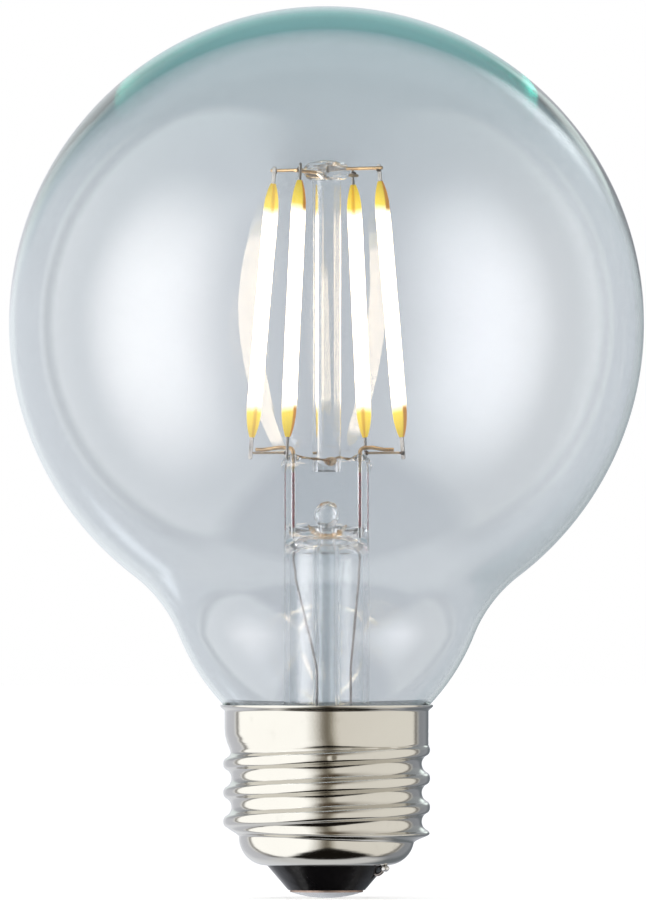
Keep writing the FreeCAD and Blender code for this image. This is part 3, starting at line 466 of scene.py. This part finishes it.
def shellRadius(turn, height):
    s = shell
    foot = s["ridgeFoot"] - s["ridgeLean"] * math.cos(turn)
    below = max(s["cupTop"] - height, 0)
    cup = s["cup"] - s["cupRound"] + math.sqrt(s["cupRound"] ** 2 - below ** 2)
    blank = cup + (s["crest"] + s["ridgeProud"] - cup) * smooth((height - foot) / s["ridgeRise"])
    over = height - s["threadTop"]
    fade = smooth((over + s["fadeStart"]) / s["fadeSpan"])
    thread = softMin(grooveRadius(turn, height), blank, s["softThread"])
    thread = min(thread, s["crest"] + (s["skirt"] - s["crest"]) * fade)
    # the skirt rises steeply from the thread at the right and gently at the left
    steep = softMin(s["skirt"] + over, s["skirt"], s["softSteep"])
    gentle = softMin(s["root"] + s["gentleSlope"] * (over + s["gentleDrop"]), s["skirt"], s["softGentle"])
    skirt = steep + (gentle - steep) * smooth(0.5 - 0.5 * math.cos(turn))
    radius = softMax(thread, skirt, s["softSkirt"] * (1 - fade) + 0.001)
    radius -= sum(s["rollDepth"] * math.exp(-((height - spot) / width) ** 2) for spot, width in s["rollMarks"])
    angle, crimp = s["crimp"]
    across = s["crest"] * math.remainder(turn - math.radians(angle), 2 * math.pi)
    reach = (across ** 2 + (height - crimp) ** 2) / s["crimpWidth"] ** 2
    return radius - s["crimpDepth"] * math.exp(-reach)


def makeShell():
    s = shell
    turns = circle(s["segments"])
    flat = s["cup"] - s["cupRound"]
    height = s["ridgeFoot"] - s["ridgeLean"] - s["rowsFoot"]
    turnTop = -math.degrees(math.asin((s["cupTop"] - height) / s["cupRound"]))
    cup = [(s["hole"], s["bottom"])] + arc((flat, s["cupTop"]), s["cupRound"], -90, turnTop, 20)[:-1]
    threadRows = []
    while height < s["lipFoot"] - s["rowsTop"]:
        radii = [shellRadius(t, height) for t in turns]
        threadRows.append([Vector((r * math.cos(t), r * math.sin(t), height)) * mm for r, t in zip(radii, turns)])
        height += s["rowStep"]
    flare = s["lip"] - s["skirt"]
    rest = [(s["skirt"], s["lipFoot"] - s["lipStart"])]
    for step in range(9):
        share = step / 8
        lipHeight = s["lipFoot"] - s["lipEase"] + (flare + s["lipEase"]) * share
        rest.append((s["skirt"] + flare * smooth(share), lipHeight))
    lipInside = s["lip"] - s["wall"]
    skirtInside = s["skirt"] - s["wall"]
    rootInside = s["root"] - s["wall"]
    stepTop = s["threadTop"] + s["wall"]
    rest += [(s["lip"], s["mouth"] - s["lipEdge"]), (s["lip"] - s["lipEdge"], s["mouth"]),
             (lipInside + 0.04, s["mouth"]), (lipInside, s["mouth"] - 0.05),
             (skirtInside, s["mouth"] - flare), (skirtInside, stepTop),
             (rootInside, stepTop - s["skirt"] + s["root"]), (rootInside, s["threadFoot"] - s["wall"]),
             (s["cup"] - s["wall"], s["cupTop"])]
    rest += arc((flat, s["cupTop"]), s["cupRound"] - s["wall"], 0, -90, 12)[1:]
    rest.append((s["hole"], s["bottom"] + s["wall"]))
    cupRows, restRows = ([ring(r, z, s["segments"]) for r, z in outline] for outline in (cup, rest))
    grid = bmesh.new()
    skinRows(grid, cupRows + threadRows + restRows, loop=True)
    addPiece("screwShell", closeMesh("screwShell", grid, 50), "nickel_plate", "screw_shell")


makeShell()
print("shell done")


lumpy = {"swell": 0.16, "scale": 1.6, "apart": 3.7}


# a lump of metal or glass that has melted and set
def lump(grid, centre, size, seed, turn=Matrix(), rows=16, segments=24):
    skin = []
    for row in range(rows + 1):
        climb = math.pi * (row / rows - 0.5)
        level = math.cos(climb)
        spots = []
        for around in circle(segments if 0 < row < rows else 1):
            way = Vector((level * math.cos(around), level * math.sin(around), math.sin(climb)))
            swell = 1 + lumpy["swell"] * noise.noise(way * lumpy["scale"] + Vector((seed * lumpy["apart"], 0, 0)))
            spot = Vector([c + w * r * swell for c, w, r in zip(centre, way, size)])
            spots.append(turn @ (spot * mm))
        skin.append(spots)
    skinRows(grid, skin)


def tube(grid, route, radius, segments=16):
    rows = []
    for index, spot in enumerate(route):
        ahead = (route[min(index + 1, len(route) - 1)] - route[max(index - 1, 0)]).normalized()
        across = ahead.cross(Vector((0.4, 0.9, 0.1))).normalized()
        upward = across.cross(ahead)
        rows.append([(spot + (across * math.cos(t) + upward * math.sin(t)) * radius) * mm
                     for t in circle(segments)])
    skinRows(grid, [[route[0] * mm]] + rows + [[route[-1] * mm]])


# a smooth run through the route's points
def eased(route, steps=10):
    spots = [Vector(spot) for spot in route]
    run = []
    for index in range(len(spots) - 1):
        before = spots[max(index - 1, 0)]
        start, end = spots[index], spots[index + 1]
        after = spots[min(index + 2, len(spots) - 1)]
        for step in range(steps):
            t = step / steps
            run.append(((2 * start) + (end - before) * t + (2 * before - 5 * start + 4 * end - after) * t ** 2
                        + (3 * start - before - 3 * end + after) * t ** 3) * 0.5)
    return run + [spots[-1]]


sideJoint = {"route": ((5.94, -2.40, 6.95), (5.94, -2.40, 4.2), (6.0, -2.42, 3.25),
                       (6.35, -2.56, 2.98), (6.8, -2.75, 3.15), (7.25, -2.95, 3.65)),
             "wire": 0.22, "solder": (7.32, -3.0, 3.75), "solderSize": (0.56, 0.54, 0.42)}


# the wire that comes out beside the black plug and is soldered to the shell's edge
def makeSideJoint():
    s = sideJoint
    grid = bmesh.new()
    tube(grid, eased(s["route"]), s["wire"])
    wire = addPiece("sideWire", closeMesh("sideWire", grid), "hookup_copper", "neutral_wire")
    wire.data.materials[0] = extras["leadGrey"]
    grid = bmesh.new()
    lump(grid, s["solder"], s["solderSize"], 2)
    addPiece("sideSolder", closeMesh("sideSolder", grid), "solder", "shell_solder")


makeSideJoint()
print("side joint done")


# glass that the flame has melted at the front of the press; arcs: reach, start, end, radius
melt = {"front": -2.0, "pressFoot": 47.95, "shoulder": 3.5, "topRadius": 0.15,
        "topLine": ((-3.9, 55.75), (-2.8, 55.45), (-1.4, 55.3), (0.3, 55.1), (1.6, 55.5), (2.7, 55.3), (4.0, 55.7)),
        "knot": (0.5, -1.95, 55.0), "knotSize": (0.8, 0.32, 0.55),
        "hole": (0.1, 48.25), "crescent": (2.7, 206, 334, 0.34), "topArc": (1.5, 40, 130, 0.2),
        "bead": (0.1, -2.0, 48.2), "beadSize": (1.45, 0.9, 1.5),
        "lumpy": 0.6, "coarse": 1.7, "fine": 3.4, "blunt": 6, "segments": 12}


# a lumpy thread of glass that lies on the press and on the shoulder, which swells out below it
def meltRun(grid, route, radius, seed, lumps):
    m = melt
    rows = []
    last = len(route) - 1
    for index, (x, z) in enumerate(route):
        fall = max(m["pressFoot"] - z, 0)
        swellOut = m["shoulder"] - math.sqrt(m["shoulder"] ** 2 - fall ** 2)
        spot = Vector((x, m["front"] - swellOut, z))
        if index in (0, last):
            rows.append([spot * mm])
            continue
        before, after = route[index - 1], route[index + 1]
        along = Vector((after[0] - before[0], 0, after[1] - before[1])).normalized()
        across = Vector((-along.z, 0, along.x))
        blunt = math.sqrt(min(1, m["blunt"] * index / last, m["blunt"] * (1 - index / last)))
        swell = radius * blunt * (1 + m["lumpy"] * noise.noise(Vector((x * lumps, seed, z * lumps))))
        rows.append([(spot + across * (swell * math.cos(t)) + Vector((0, swell * math.sin(t), 0))) * mm
                     for t in circle(m["segments"])])
    skinRows(grid, rows)


def makeMelt():
    m = melt
    line = []
    for (x, z), (endX, endZ) in zip(m["topLine"], m["topLine"][1:]):
        for step in range(8):
            share = step / 8
            line.append((x + (endX - x) * share, z + (endZ - z) * smooth(share)))
    top, rim, drop = bmesh.new(), bmesh.new(), bmesh.new()
    meltRun(top, line, m["topRadius"], 3.0, m["coarse"])
    lump(top, m["knot"], m["knotSize"], 5)
    for seed, name in enumerate(("crescent", "topArc")):
        reach, start, end, radius = m[name]
        meltRun(rim, arc(m["hole"], reach, start, end, 90), radius, seed + 7.0, m["fine"])
    lump(drop, m["bead"], m["beadSize"], 9, rows=24, segments=36)
    # the brown line and knot and the gold rim round the hole are painted warm reflections of the filaments
    for name, grid, finish in (("pressMelt", top, extras["paintedWarmEdge"]), ("holeMelt", rim, extras["paintedGoldGlint"]),
                               ("holeBead", drop, finishes["stem_glass"])):
        piece = addPiece(name, closeMesh(name, grid, 60), "stem_glass")
        piece.data.materials[0] = finish
        piece.visible_shadow = False


makeMelt()
print("melt done")


# stripes: turn, half width and depth of the darker line along each filament's ends
filament = {"radius": 0.95, "length": 33.0, "tip": 0.34, "taper": 3.4, "topTab": 2.3, "bottomTab": 2.8,
            "weldInset": 0.8, "weld": (0.29, 0.29, 0.25), "weldDrop": 0.6,
            "topRing": 7.4, "bottomRing": 10.8, "firstTurn": -29.0, "tabOffset": 0.32, "buttonCentre": 92.4,
            "stripes": ((-5.0, 0.62, 1.0), (-158.0, 0.34, 0.6), (132.0, 0.34, 0.5), (95.0, 0.62, 1.0)),
            "stripeFade": 0.2, "stripeReach": 4.1, "stripeEnd": 0.5, "litReach": 6.0, "litLean": 0.07,
            "ripple": 0.035, "slack": 0.03, "waveAround": 0.8, "waveAlong": 0.45, "waveApart": 7,
            "crowding": 0.35, "rows": 160, "segments": 36}


def filamentSeat(index):
    g = filament
    span = g["length"] + g["topTab"] + g["bottomTab"] - 2 * g["weldInset"]
    growth = g["bottomRing"] - g["topRing"]
    lean = math.asin(growth / span)
    crossHeight = g["buttonCentre"] - math.sqrt(span ** 2 - growth ** 2)
    turn = Matrix.Rotation(math.radians(g["firstTurn"] + 90 * index), 4, "Z")
    middle = Vector(((g["topRing"] + g["bottomRing"]) / 2, g["tabOffset"],
                     (g["buttonCentre"] + crossHeight) / 2)) * mm
    return turn @ Matrix.Translation(middle) @ Matrix.Rotation(-lean, 4, "Y"), span


def makeFilament(index):
    g = filament
    seat, span = filamentSeat(index)
    top = span / 2 + g["weldInset"] - g["topTab"]
    bottom = top - g["length"]
    step = g["radius"] - g["tip"]
    bend = (g["taper"] ** 2 + step ** 2) / (2 * step)
    stripeTurn, stripeWidth, stripeDepth = g["stripes"][index]
    stripeTurn = math.radians(stripeTurn)
    rows = []
    marks = []
    stripes = []
    for row in range(g["rows"] + 1):
        share = row / g["rows"]
        share = smooth(share) * g["crowding"] + share * (1 - g["crowding"])     # rows crowd at the tips
        height = bottom + g["length"] * share
        inset = min(height - bottom, top - height)
        radius = g["radius"]
        if inset < g["taper"]:
            radius = g["radius"] - bend + math.sqrt(bend ** 2 - (g["taper"] - inset) ** 2)
        spots = []
        for turn in circle(g["segments"]):
            wave = Vector((math.cos(turn) * g["waveAround"] + index * g["waveApart"],
                           math.sin(turn) * g["waveAround"], height * g["waveAlong"]))
            swell = radius * (1 + g["ripple"] * noise.noise(wave) - g["slack"])
            spots.append(seat @ (Vector((swell * math.cos(turn), swell * math.sin(turn), height)) * mm))
            away = abs(math.remainder(turn - stripeTurn, 2 * math.pi))
            marks.append(min(inset / g["litReach"] + g["litLean"] * (away / math.pi - 0.5), 1.0))
            edge = stripeDepth * clamp((stripeWidth - away) / g["stripeFade"])
            stripes.append(edge * clamp((g["stripeReach"] - inset) / g["stripeEnd"]))
        rows.append(spots)
    rows = [[seat @ Vector((0, 0, bottom * mm))]] + rows + [[seat @ Vector((0, 0, top * mm))]]
    grid = bmesh.new()
    skinRows(grid, rows)
    mesh = closeMesh(f"filament{index + 1}", grid, 60)
    for name, values in (("along", marks), ("stripe", stripes)):
        shades = mesh.attributes.new(name, "FLOAT", "POINT")
        shades.data.foreach_set("value", [0.0] + values + [0.0])
    addPiece(f"filament{index + 1}", mesh, "filament_coating", f"led_filament_{index + 1}")


# dark spots where the tabs are welded to the wires
def makeWelds():
    g = filament
    grid = bmesh.new()
    for index in range(4):
        seat, span = filamentSeat(index)
        for end in (1, -1):
            centre = (0, -g["tabOffset"] * g["weldDrop"], end * span / 2)
            lump(grid, centre, g["weld"], index * 2 + end, seat, 10, 14)
    welds = addPiece("weldSpots", closeMesh("weldSpots", grid), "nickel_wire")
    welds.data.materials[0] = extras["weldDark"]


for index in range(4):
    makeFilament(index)
makeWelds()
print("filaments done")


allRays = ("camera", "diffuse", "glossy", "transmission", "shadow", "volume_scatter")


# a thing of the studio, shown only to the rays that are named
def onStage(name, mesh, finish, rays):
    thing = bpy.data.objects.new(name, mesh)
    bpy.context.scene.collection.objects.link(thing)
    mesh.materials.append(finish)
    for ray in allRays:
        setattr(thing, f"visible_{ray}", ray in rays)


def studioCard(name, finish, corners, rays):
    mesh = bpy.data.meshes.new(name)
    mesh.from_pydata(corners, [], [(0, 1, 2, 3)])
    sheet = mesh.uv_layers.new(name="card")
    for loop, spot in zip(sheet.data, ((0, 0), (1, 0), (1, 1), (0, 1))):
        loop.uv = spot
    onStage(name, mesh, finish, rays)


# a glowing panel whose light fades out towards its edges
# it shows in reflections, not straight through the glass
def panelGlow(name, core, acrossStops, upwardStops):
    f = Finish(name)
    spread = f.node("ShaderNodeSeparateXYZ", inputs={0: f.node("ShaderNodeTexCoord", out="UV")}, out="X")
    climb = f.node("ShaderNodeSeparateXYZ", inputs={0: f.node("ShaderNodeTexCoord", out="UV")}, out="Y")
    across = f.ramp(spread, *acrossStops)
    upward = f.ramp(climb, *upwardStops)
    for link in (across, upward):
        link.socket.node.color_ramp.interpolation = "EASE"
    glow = f.node("ShaderNodeEmission", inputs={"Color": core, "Strength": 1.0})
    clear = f.node("ShaderNodeBsdfTransparent")
    mirrored = f.node("ShaderNodeLightPath", out="Glossy Depth")
    mirrored = mirrored + f.node("ShaderNodeLightPath", out="Is Diffuse Ray")
    seen = f.node("ShaderNodeMath", {"operation": "MINIMUM"}, {0: mirrored, 1: 1.0})
    share = across * upward * seen
    f.join(f.end.inputs["Surface"], f.node("ShaderNodeMixShader", inputs={0: share, 1: clear, 2: glow}))
    return f.made


# soft boxes at both sides, and a shaded ceiling and a gleam behind that only the thick crown shows
studio = {"reach": 1.1, "low": -1.15, "high": 1.35,
          "soft": ((0.0, 0.0), (0.46, 1.0), (0.54, 1.0), (1.0, 0.0)),
          "left": (-102, -26, (9.4, 8.7, 8.25)), "right": (36, 114, (2.6, 2.36, 2.22)),
          "shade": (0.25, 0.47, 0.49), "shadeBox": (-0.7, 0.45, 0.1, 1.15), "shadeBack": 1,
          "shadeAcross": ((0.0, 0.0), (0.25, 0.95), (0.72, 0.95), (1.0, 0.0)),
          "shadeUpward": ((0.0, 0.0), (0.42, 0.95), (0.62, 0.95), (1.0, 0.0)),
          "gleam": (3.0, 3.0, 3.0), "gleamBox": (0.2, 0.65, 0.36, 0.78), "gleamBack": 0.98}


# 0 is towards the camera, positive to its right
def turned(azimuth, height):
    turn = math.radians(azimuth)
    return (studio["reach"] * math.sin(turn), -studio["reach"] * math.cos(turn), height)


def makePanels():
    s = studio
    for hand in ("left", "right"):
        near, far, colour = s[hand]
        corners = [turned(near, s["low"]), turned(far, s["low"]), turned(far, s["high"]), turned(near, s["high"])]
        glow = panelGlow(f"{hand}Glow", colour, s["soft"], s["soft"])
        studioCard(f"{hand}Box", glow, corners, ("transmission", "diffuse", "shadow"))
    shade = panelGlow("shadeGlow", s["shade"], s["shadeAcross"], s["shadeUpward"])
    gleam = panelGlow("gleamGlow", s["gleam"], s["soft"], s["soft"])
    for name, glow, box, back in (("ceilingShade", shade, s["shadeBox"], s["shadeBack"]),
                                  ("gleam", gleam, s["gleamBox"], s["gleamBack"])):
        left, right, low, high = box
        corners = [(left, back, low), (right, back, low), (right, back, high), (left, back, high)]
        studioCard(name, glow, corners, ("transmission",))


# the studio room as mirrors see it: pale cloths at both sides, a dark gap in front, a grey wall behind
def roomGlow():
    look = {"across": ((0.0, (1.65, 1.65, 1.63)), (0.30, (1.65, 1.65, 1.63)), (0.40, (0.95, 0.93, 0.88)),
                       (0.462, (0.36, 0.33, 0.28)), (0.50, (0.22, 0.195, 0.155)), (0.535, (0.34, 0.31, 0.25)),
                       (0.565, (0.66, 0.62, 0.54)), (0.61, (1.02, 0.98, 0.91)), (1.0, (1.08, 1.05, 0.98))),
            "under": (0.012, 0.010, 0.008), "over": (0.12, 0.09, 0.06), "edge": (0.14, 0.13, 0.125),
            "back": ((0.0, (0.76, 0.78, 0.85)), (0.28, (0.76, 0.78, 0.85)), (0.34, (0.90, 0.92, 0.97)),
                     (0.44, (0.86, 0.88, 0.93)), (0.52, (0.60, 0.62, 0.67)), (0.59, (0.20, 0.22, 0.24)),
                     (0.68, (0.20, 0.22, 0.24)), (0.76, (0.36, 0.38, 0.42)), (1.0, (0.34, 0.36, 0.40))),
            "high": ((0.25, (0.60, 0.62, 0.68)), (0.31, (0.95, 1.04, 1.05)), (0.41, (0.95, 1.02, 1.04)),
                     (0.46, (0.78, 0.79, 0.83)), (0.57, (0.74, 0.76, 0.80)), (0.66, (0.40, 0.43, 0.46))),
            "mint": (1.25, 1.40, 1.38), "table": (0.85, 0.86, 0.88), "top": (0.34, 0.37, 0.40),
            "bend": 0.38, "lean": 0.8}
    f = Finish("roomGlow")
    way = f.node("ShaderNodeVectorMath", {"operation": "NORMALIZE"}, {0: f.spot()})
    x, y, z = (f.node("ShaderNodeSeparateXYZ", inputs={0: way}, out=axis) for axis in "XYZ")
    across = x * 0.5 + 0.5
    climb = z * 0.5 + 0.5
    depth = y + z * z * look["bend"]
    middle = f.ramp(across, (0.35, 0.0), (0.46, 1.0), (0.57, 1.0), (0.72, 0.35), (0.9, 0.0))
    aside = f.node("ShaderNodeMath", {"operation": "ABSOLUTE"}, {0: x})
    brink = f.ramp(depth - aside * look["lean"], (0.0, 0.0), (0.12, 1.0))
    under = f.ramp(climb, (0.0, 1.0), (0.22, 1.0), (0.44, 0.0))
    over = f.ramp(climb, (0.58, 0.0), (0.80, 1.0))
    front = f.ramp(across, *look["across"])
    below = f.ramp(z * -0.9 - 0.5 - aside * 0.42 + x * 0.12, (0.0, 0.0), (0.1, 1.0))
    for share, colour in ((below, "under"), (under * brink, "under"),
                          (over * middle, "over"), (over * brink, "over")):
        front = f.blend(share, front, look[colour])
    front = f.blend(f.ramp(depth, (0.44, 0.0), (0.51, 0.85), (0.55, 0.85), (0.61, 0.0)), front, look["edge"])
    wall, high = f.ramp(across, *look["back"]), f.ramp(across, *look["high"])
    back = f.blend(f.ramp(climb, (0.53, 0.0), (0.60, 1.0)), wall, high)
    back = f.blend(f.ramp(climb, (0.66, 0.0), (0.78, 1.0)), back, look["top"])
    strip = f.ramp(climb, (0.585, 0.0), (0.605, 1.0), (0.65, 1.0), (0.69, 0.0))
    strip = strip * f.ramp(across, (0.58, 0.0), (0.61, 1.0), (0.67, 1.0), (0.73, 0.0))
    back = f.blend(strip, back, look["mint"])
    room = f.blend(f.ramp(depth, (0.55, 0.0), (0.64, 1.0)), front, back)
    table = f.ramp(y, (0.08, 0.0), (0.20, 1.0)) * f.ramp(z * -1.0, (0.62, 0.0), (0.78, 1.0))
    room = f.blend(table * f.ramp(aside, (0.42, 1.0), (0.58, 0.0)), room, look["table"])
    glow = f.node("ShaderNodeEmission", inputs={"Color": room, "Strength": 1.0})
    f.join(f.end.inputs["Surface"], glow)
    return f.made


def makeRoom():
    grid = bmesh.new()
    bmesh.ops.create_uvsphere(grid, u_segments=64, v_segments=32, radius=3.0)
    mesh = bpy.data.meshes.new("room")
    grid.to_mesh(mesh)
    grid.free()
    onStage("room", mesh, roomGlow(), ("glossy",))


# rays to which the background is white
def whiteRays(f):
    camera, through, mirrored = (f.node("ShaderNodeLightPath", out=f"Is {ray} Ray")
                                 for ray in ("Camera", "Transmission", "Glossy"))
    return camera + through + mirrored


def makeFloor():
    mesh = bpy.data.meshes.new("floor")
    mesh.from_pydata([(-4, -4, 0), (4, -4, 0), (4, 4, 0), (-4, 4, 0)], [], [(0, 1, 2, 3)])
    f = Finish("floorPaper")
    fibre = f.grain(60, 4, 0.6)
    f.set(colour=f.blend(fibre, (0.84, 0.84, 0.84), (0.80, 0.80, 0.80)), rough=0.9,
          glow=f.blend(whiteRays(f), (0, 0, 0), (0.5, 0.5, 0.5)), glowPower=1.0)
    onStage("floor", mesh, f.made, ("camera", "diffuse", "shadow", "volume_scatter"))


def makeWorld():
    world = bpy.data.worlds.new("studioRoom")
    bpy.context.scene.world = world
    f = Finish("studioRoom", world)
    room = next(n for n in f.tree.nodes if n.bl_idname == "ShaderNodeBackground")
    f.join(room.inputs["Color"], f.blend(whiteRays(f), (0.62, 0.63, 0.65), (1.0, 1.0, 1.0)))
    room.inputs["Strength"].default_value = 1.0


def makeCamera():
    view = {"reach": 2600.0, "eye": 44.0, "aim": 56.43, "side": -0.45, "frame": 113.4, "sensor": 36}
    lens = bpy.data.cameras.new("camera")
    camera = bpy.data.objects.new("camera", lens)
    bpy.context.scene.collection.objects.link(camera)
    spot = Vector((view["side"], -view["reach"], view["eye"])) * mm
    aim = Vector((view["side"], 0, view["aim"])) * mm
    camera.location = spot
    camera.rotation_euler = (aim - spot).to_track_quat("-Z", "Y").to_euler()
    lens.sensor_fit = "VERTICAL"
    lens.sensor_height = view["sensor"]
    lens.lens = view["sensor"] * view["reach"] / view["frame"]
    bpy.context.scene.camera = camera


makePanels()
makeRoom()
makeFloor()
makeWorld()
makeCamera()
scene = bpy.context.scene
scene.view_settings.view_transform = "Standard"
scene.cycles.max_bounces = 40
scene.cycles.transmission_bounces = 40
scene.cycles.glossy_bounces = 40
scene.cycles.transparent_max_bounces = 24
print("studio done")
